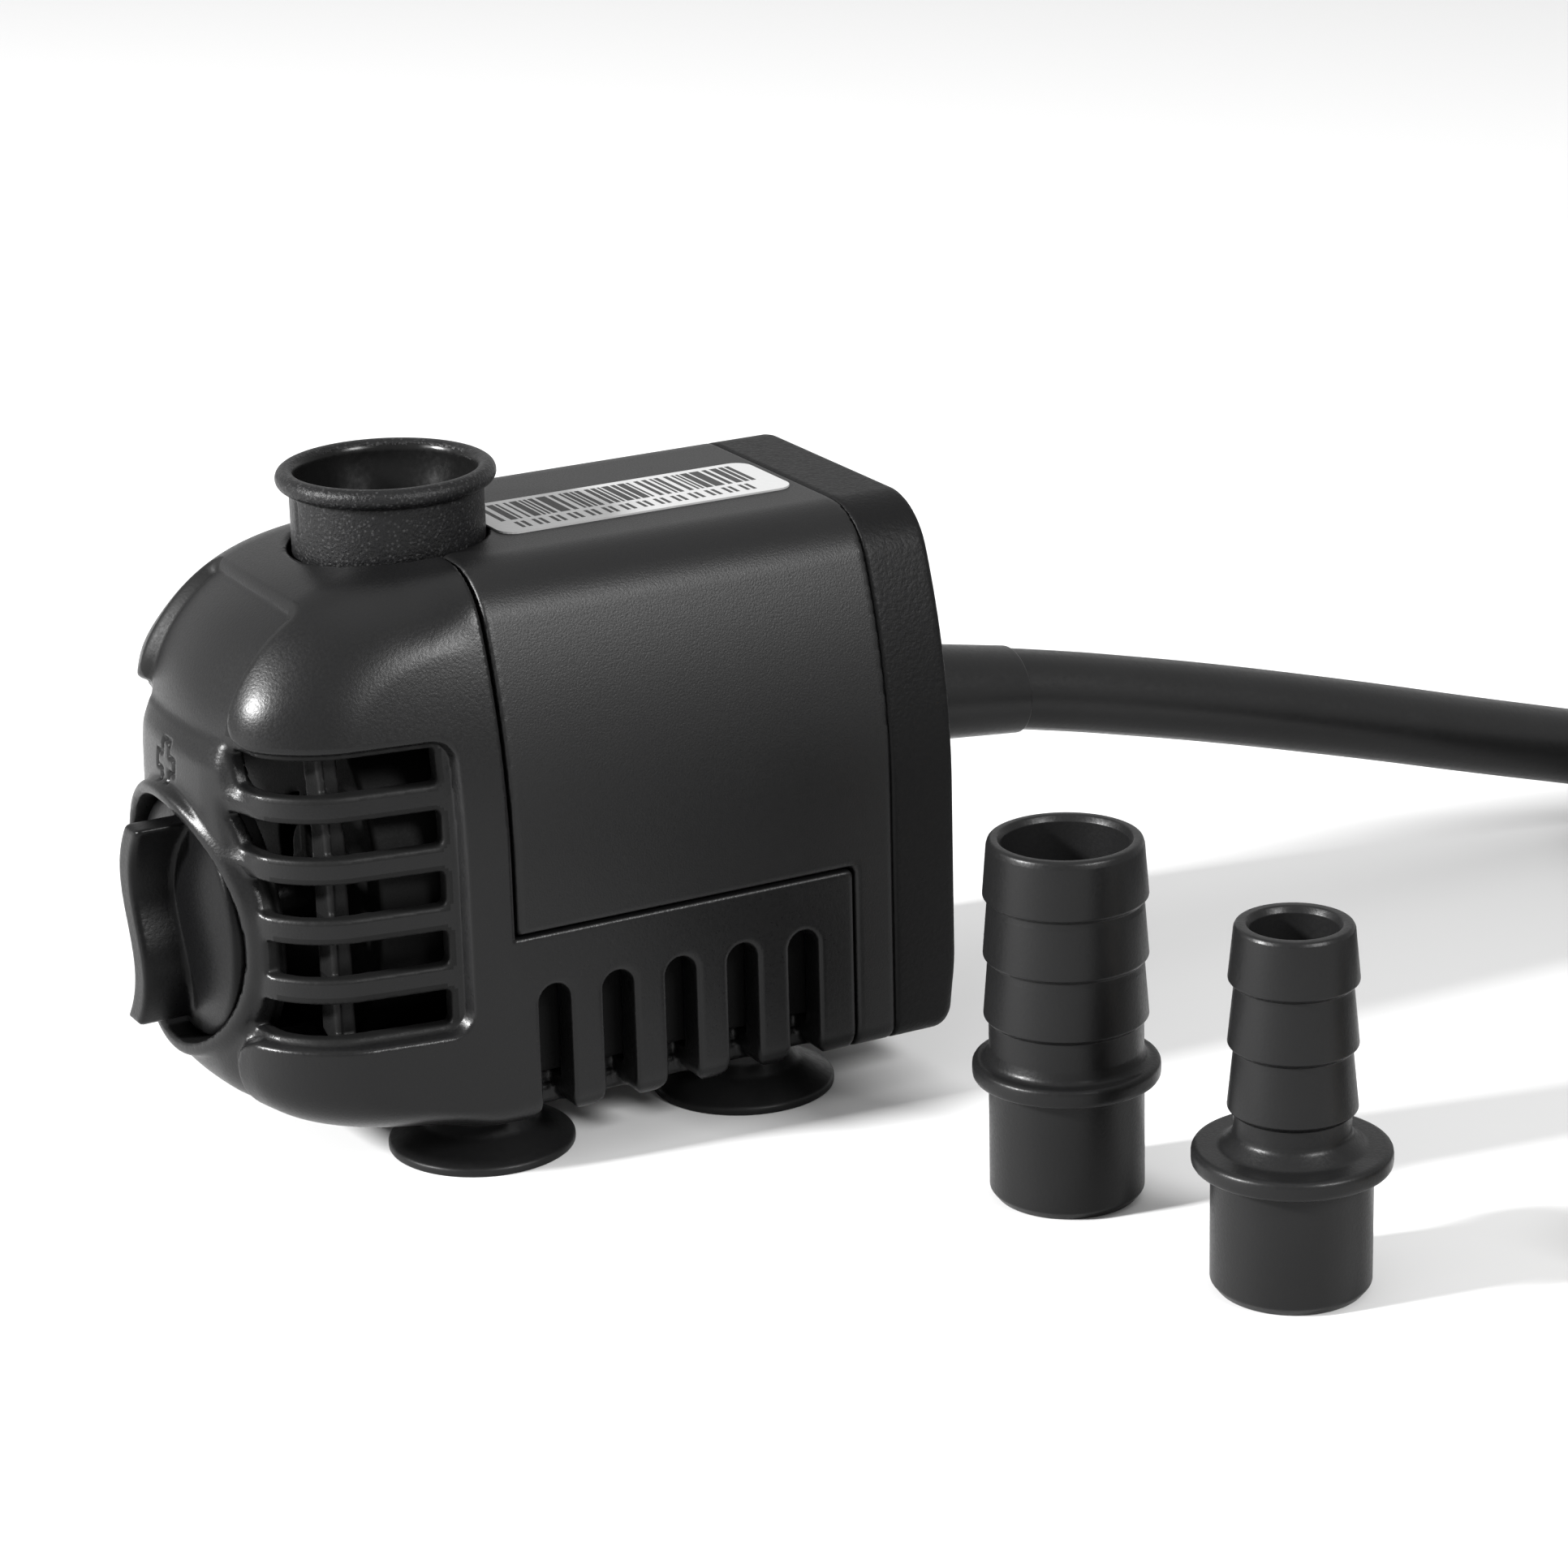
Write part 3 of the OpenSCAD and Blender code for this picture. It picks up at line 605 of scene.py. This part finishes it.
def make_label():
    """Thin label with rounded corners, a row of bars and a row of plain blocks printed on it."""
    low, high = corners("rating_label")
    low[:2] -= 1.2                          # the printed film reaches past the CAD label
    corner, turn = 1.9, np.linspace(0, math.pi / 2, 7)
    rim = []
    for k, (cx, cy) in enumerate(((high[0], high[1]), (low[0], high[1]), (low[0], low[1]),
                                  (high[0], low[1]))):
        middle = np.array((cx - math.copysign(corner, cx - (low[0] + high[0]) / 2),
                           cy - math.copysign(corner, cy - (low[1] + high[1]) / 2)))
        rim += [middle + corner * np.array((math.cos(t), math.sin(t))) for t in turn + k * math.pi / 2]
    count = len(rim)
    vertices = [(x, y, low[2]) for x, y in rim] + [(x, y, high[2]) for x, y in rim]
    faces = [list(range(count, 2 * count)), list(range(count - 1, -1, -1))]
    faces += [[i, (i + 1) % count, count + (i + 1) % count, count + i] for i in range(count)]
    plain = len(faces)
    chance = np.random.default_rng(7)

    def block(x0, x1, y0, y1):
        """A printed mark: a closed box that stands a hair above the film."""
        first = len(vertices)
        for z in (high[2] - 0.02, high[2] + 0.012):
            vertices.extend([(x0, y0, z), (x1, y0, z), (x1, y1, z), (x0, y1, z)])
        faces.extend([[first + 3, first + 2, first + 1, first], [first + i for i in range(4, 8)]])
        faces.extend([first + i, first + (i + 1) % 4, first + 4 + (i + 1) % 4, first + 4 + i]
                     for i in range(4))

    y = low[1] + 1.7
    while y < high[1] - 2.4:
        wide = chance.choice((0.28, 0.5, 0.8, 1.1), p=(0.35, 0.3, 0.2, 0.15))
        block(low[0] + 1.0, high[0] - 4.4, y, y + wide)
        y += wide + chance.choice((0.24, 0.4, 0.6), p=(0.55, 0.3, 0.15))
    for i in range(14):
        start = low[1] + 2.6 + 1.95 * i
        block(high[0] - 3.5, high[0] - 1.3, start, start + 0.4)
        block(high[0] - 3.5, high[0] - 1.3, start + 0.75, start + 1.15)
    label = mesh_object("printed_label", vertices, faces, "pump")
    label.data.shade_flat()
    label.data.polygons.foreach_set("material_index", [int(i >= plain) for i in range(len(faces))])
    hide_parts("rating_label")
    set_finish(label, "label_film")
    return label


# ---------- pieces ----------


def make_pieces():
    """Every piece that comes from a distance field, by name."""
    made = {}
    for name, field, node, step, body, slot in (
            ("cover_shell", front_cover, "front_cover", 0.34, "front_cover", "cover_plastic"),
            ("dial_knob", flow_dial, "flow_dial", 0.35, "flow_dial", "dial_plastic"),
            ("outlet_and_chamber", volute, "volute_housing", 0.3, "pump", "outlet_plastic"),
            ("motor_casing", motor_housing, "motor_housing", 0.45, "pump", "housing_plastic"),
            ("rear_cap", rear_cover, "rear_cover", 0.4, "pump", "rear_plastic"),
            ("plug_moulding", plug, "plug_body", 0.4, "pump", "plug_rubber"),
            ("coil_strap", strap, "coil_tie", 0.3, "pump", "tie_strap")):
        piece = solid(name, field, corners(node), step, body)
        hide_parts(node)
        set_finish(piece, slot)
        made[name] = piece
    return made


pieces = make_pieces()

for place, x, y in (("front_left", -FOOT_X, SEAM), ("front_right", FOOT_X, SEAM),
                    ("rear_left", -FOOT_X, FOOT_BACK), ("rear_right", FOOT_X, FOOT_BACK)):
    foot = turned("suction_cup_" + place, FOOT, (x, y, 0), "front_cover")
    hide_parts("foot_" + place)
    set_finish(foot, "foot_rubber")
    pieces[foot.name] = foot

for size, at, outline in (
        ("16", (55.3, 24.9, 0), adaptor_outline(6.2, 7.55, 8.05, 9.2, 7.9, 36.9, (18.9, 25.1, 31.2))),
        ("12", (84.7, 31.3, 0), adaptor_outline(4.1, 5.5, 6.1, 9.4, 6.9, 36.2, (18.2, 24.5, 30.8)))):
    adaptor = turned("adaptor_" + size, outline, at, "hose_adaptor_" + size)
    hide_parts("hose_adaptor_" + size)
    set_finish(adaptor, "adaptor_plastic")
    pieces[adaptor.name] = adaptor

pieces["printed_label"] = make_label()

# ---------- strain relief ----------

RELIEF = [(4.2, 25, 0), (8, 25, 0.3), (8, 28.9, 0.3), (6, 28.9, 0.2), (6, 31.2, 0.4),
          (5.6, 34, 2), (4.8, 52, 0.3), (4.2, 52, 0.1)]


def make_relief():
    """Tapered sleeve that bends down with the cord."""
    route = np.array(LEAD_ROUTE, float)
    piece = turned("strain_relief", RELIEF, (0, 0, CORD_Z), "pump", "y", 64)
    points = np.array([v.co[:] for v in piece.data.vertices])
    points[:, 2] += (np.interp(points[:, 1] / MM, route[:, 1], route[:, 2]) - CORD_Z) * MM
    piece.data.vertices.foreach_set("co", points.ravel())
    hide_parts("cable_gland")
    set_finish(piece, "cord_rubber")
    return piece


pieces["strain_relief"] = make_relief()

# ---------- materials ----------


def material(name, color, rough, grain=0.0, grain_size=0.3, mottle=0.12, metal=0.0, speckle=0.0,
             gloss=0.15):
    """Moulded or metal finish: colour mottle, uneven gloss, and a grain of depth grain mm."""
    made = bpy.data.materials.new(name)
    made.use_nodes = True
    nodes, links = made.node_tree.nodes, made.node_tree.links
    shader = nodes["Principled BSDF"]
    shader.inputs["Metallic"].default_value = metal
    place = nodes.new("ShaderNodeTexCoord").outputs["Object"]

    def noise(size_mm, detail):
        node = nodes.new("ShaderNodeTexNoise")
        node.inputs["Scale"].default_value = 1 / (size_mm * MM)
        node.inputs["Detail"].default_value = detail
        node.inputs["Roughness"].default_value = 0.55
        links.new(place, node.inputs["Vector"])
        return node.outputs["Fac"]

    def spread(source, low, high, start=0.3, end=0.7):
        node = nodes.new("ShaderNodeMapRange")
        node.inputs["From Min"].default_value = start
        node.inputs["From Max"].default_value = end
        node.inputs["To Min"].default_value = low
        node.inputs["To Max"].default_value = high
        links.new(source, node.inputs["Value"])
        return node.outputs["Result"]

    fine = noise(grain_size, 4.0)
    broad = noise(14.0, 2.0)
    shade = nodes.new("ShaderNodeMix")
    shade.data_type = "RGBA"
    shade.inputs["A"].default_value = [c * (1 - mottle) for c in color] + [1]
    shade.inputs["B"].default_value = [c * (1 + mottle) for c in color] + [1]
    links.new(spread(broad, 0, 1), shade.inputs["Factor"])
    links.new(shade.outputs["Result"], shader.inputs["Base Color"])
    links.new(spread(fine, rough - 0.05, rough + 0.05), shader.inputs["Roughness"])
    if speckle:
        dots = nodes.new("ShaderNodeTexVoronoi")
        dots.inputs["Scale"].default_value = 1 / (grain_size * 1.5 * MM)
        links.new(place, dots.inputs["Vector"])
        lighter = nodes.new("ShaderNodeMix")
        lighter.data_type = "RGBA"
        links.new(shade.outputs["Result"], lighter.inputs["A"])
        lighter.inputs["B"].default_value = [min(1, c + speckle) for c in color] + [1]
        links.new(spread(dots.outputs["Distance"], 1, 0, 0.0, 0.35), lighter.inputs["Factor"])
        links.new(lighter.outputs["Result"], shader.inputs["Base Color"])
    shader.inputs["Specular IOR Level"].default_value = gloss
    if grain:
        bump = nodes.new("ShaderNodeBump")
        bump.inputs["Distance"].default_value = grain * MM
        bump.inputs["Strength"].default_value = 1.0
        links.new(fine, bump.inputs["Height"])
        links.new(bump.outputs["Normal"], shader.inputs["Normal"])
    return made


MATERIALS = {
    "cover_plastic": material("satin_black", (0.0034, 0.0034, 0.0035), 0.32, 0.022, 0.28, gloss=0.18),
    "dial_plastic": material("smooth_black", (0.002, 0.002, 0.0021), 0.32, 0.02, 0.35, gloss=0.09),
    "housing_plastic": material("matte_black", (0.0022, 0.0022, 0.0023), 0.41, 0.03, 0.2, gloss=0.23),
    "rear_plastic": material("grained_black", (0.0018, 0.0018, 0.0019), 0.46, 0.07, 0.45, gloss=0.11),
    "outlet_plastic": material("sparkling_black", (0.0036, 0.0036, 0.0038), 0.38, 0.11, 0.32,
                               speckle=0.022),
    "adaptor_plastic": material("adaptor_black", (0.0052, 0.0052, 0.0053), 0.36, 0.02, 0.35),
    "foot_rubber": material("cup_rubber", (0.0045, 0.0045, 0.0046), 0.42, 0.02, 0.6),
    "seal_rubber": material("seal_rubber", (0.012, 0.012, 0.012), 0.55, 0.02, 0.5),
    "cord_rubber": material("cord_rubber", (0.006, 0.006, 0.0061), 0.33, 0.015, 0.6, gloss=0.2),
    "plug_rubber": material("plug_rubber", (0.0075, 0.0075, 0.0076), 0.4, 0.03, 0.4),
    "tie_strap": material("strap_rubber", (0.018, 0.018, 0.018), 0.6, 0.05, 0.3),
    "rotor_plastic": material("natural_plastic", (0.7, 0.72, 0.68), 0.4, 0.02, 0.4, 0.04),
    "bobbin_plastic": material("nylon", (0.75, 0.7, 0.55), 0.45, 0.03, 0.4, 0.05),
    "ceramic": material("ceramic", (0.82, 0.82, 0.78), 0.15, 0.0, 0.4, 0.03),
    "ferrite": material("ferrite", (0.05, 0.05, 0.055), 0.45, 0.05, 0.3),
    "core_steel": material("core_steel", (0.42, 0.43, 0.45), 0.38, 0.04, 0.4, 0.1, 1.0),
    "copper_wire": material("copper_wire", (0.7, 0.3, 0.12), 0.3, 0.15, 0.35, 0.1, 1.0),
    "lead_sleeve": material("lead_sleeve", (0.25, 0.12, 0.06), 0.35, 0.02, 0.5),
    "resin": material("resin", (0.03, 0.026, 0.022), 0.25, 0.03, 2.0),
    "label_film": material("label_film", (0.27, 0.27, 0.27), 0.42, 0.01, 0.6, 0.03),
    "plug_brass": material("plug_brass", (0.72, 0.55, 0.28), 0.25, 0.01, 0.3, 0.08, 1.0),
}

for piece in pieces.values():
    piece.data.materials.append(MATERIALS[piece["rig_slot"]])
pieces["printed_label"].data.materials.append(
    material("printing_ink", (0.02, 0.02, 0.02), 0.5, 0.01, 0.3, 0.2))
cord.data.materials.append(MATERIALS["cord_rubber"])

# a second finish on some faces: painted shade inside the casing and on the drum (a darker, duller
# black where shade falls), dull at cut edges, polished in the outlet's bore
TUBE_FOOT = 44                          # the tube is seen above this height; the drum below it gets the painted shade
# painted shade: a darker, duller black on the casing's inner faces and on the drum, standing in for
# the shade inside the pump
PAINTED_SHADE = material("painted_shade_black", (0.002, 0.002, 0.002), 0.6, 0.02, 0.3, gloss=0.06)
BORE_FINISH = material("polished_black", (0.003, 0.003, 0.003), 0.24, 0.004, 0.6)
CUT_EDGE = material("dull_edge_black", (0.004, 0.004, 0.004), 0.5, 0.02, 0.3, gloss=0.1)
for name, finish, chosen in (
        ("motor_casing", PAINTED_SHADE, lambda x, y, z: section(x, z) < -1.2),
        ("outlet_and_chamber", PAINTED_SHADE, lambda x, y, z: z < TUBE_FOOT),
        ("outlet_and_chamber", BORE_FINISH,
         lambda x, y, z: (z > TUBE_FOOT) & (np.hypot(x, y - OUTLET_Y) < MOUTH_R + 0.2)),
        ("cover_shell", CUT_EDGE, lambda x, y, z: (louvre_gaps(x, y, z) < 0.6) & (y > -41)),
        ("cover_shell", CUT_EDGE,
         lambda x, y, z: (np.abs(channel(x, y, z) + 0.7) < 0.9) & (np.abs(x) > 9) & (z > 46.5))):
    data = pieces[name].data
    data.materials.append(finish)
    index = np.zeros(len(data.polygons), int)
    data.polygons.foreach_get("material_index", index)
    centres = np.array([face.center[:] for face in data.polygons]) / MM
    index[chosen(*centres.T)] = len(data.materials) - 1
    data.polygons.foreach_set("material_index", index.tolist())

for part in frame["record"]["subparts"]:
    node = frame["nodes"][part["node"]]
    node.data.materials.clear()
    node.data.materials.append(MATERIALS[part["material_slot"]])

# ---------- floor and light ----------


def make_floor():
    """Plain pale floor."""
    data = bpy.data.meshes.new("floor")
    half = 3.0
    data.from_pydata([(-half, -half, 0), (half, -half, 0), (half, half, 0), (-half, half, 0)], [],
                     [(0, 1, 2, 3)])
    floor = bpy.data.objects.new("floor", data)
    bpy.context.scene.collection.objects.link(floor)
    paint = bpy.data.materials.new("pale_floor")
    paint.use_nodes = True
    shader = paint.node_tree.nodes["Principled BSDF"]
    shader.inputs["Base Color"].default_value = (0.5, 0.5, 0.5, 1)
    shader.inputs["Roughness"].default_value = 0.7
    data.materials.append(paint)


def area_light(name, place, aim, size, power):
    """Square softbox at place, facing aim."""
    data = bpy.data.lights.new(name, "AREA")
    data.shape = "SQUARE"
    data.size = size
    data.energy = power
    light = bpy.data.objects.new(name, data)
    bpy.context.scene.collection.objects.link(light)
    light.location = place
    light.rotation_mode = "QUATERNION"
    light.rotation_quaternion = (Vector(aim) - Vector(place)).to_track_quat("-Z", "Y")


def make_light():
    """White surroundings, a small key light in front, a softbox at the side and one above."""
    world = bpy.data.worlds.new("studio")
    world.use_nodes = True
    world.node_tree.nodes["Background"].inputs["Color"].default_value = (1, 1, 1, 1)
    world.node_tree.nodes["Background"].inputs["Strength"].default_value = 0.8
    bpy.context.scene.world = world
    bpy.context.scene.view_settings.view_transform = "Standard"
    target = (0, 0, 0.03)
    area_light("key", (-0.12, -1.0, 0.55), target, 0.13, 48)
    area_light("side", (0.9, 0.25, 0.66), target, 0.3, 15.5)
    area_light("top", (0.0, 0.1, 1.4), target, 0.9, 2)


make_floor()
make_light()
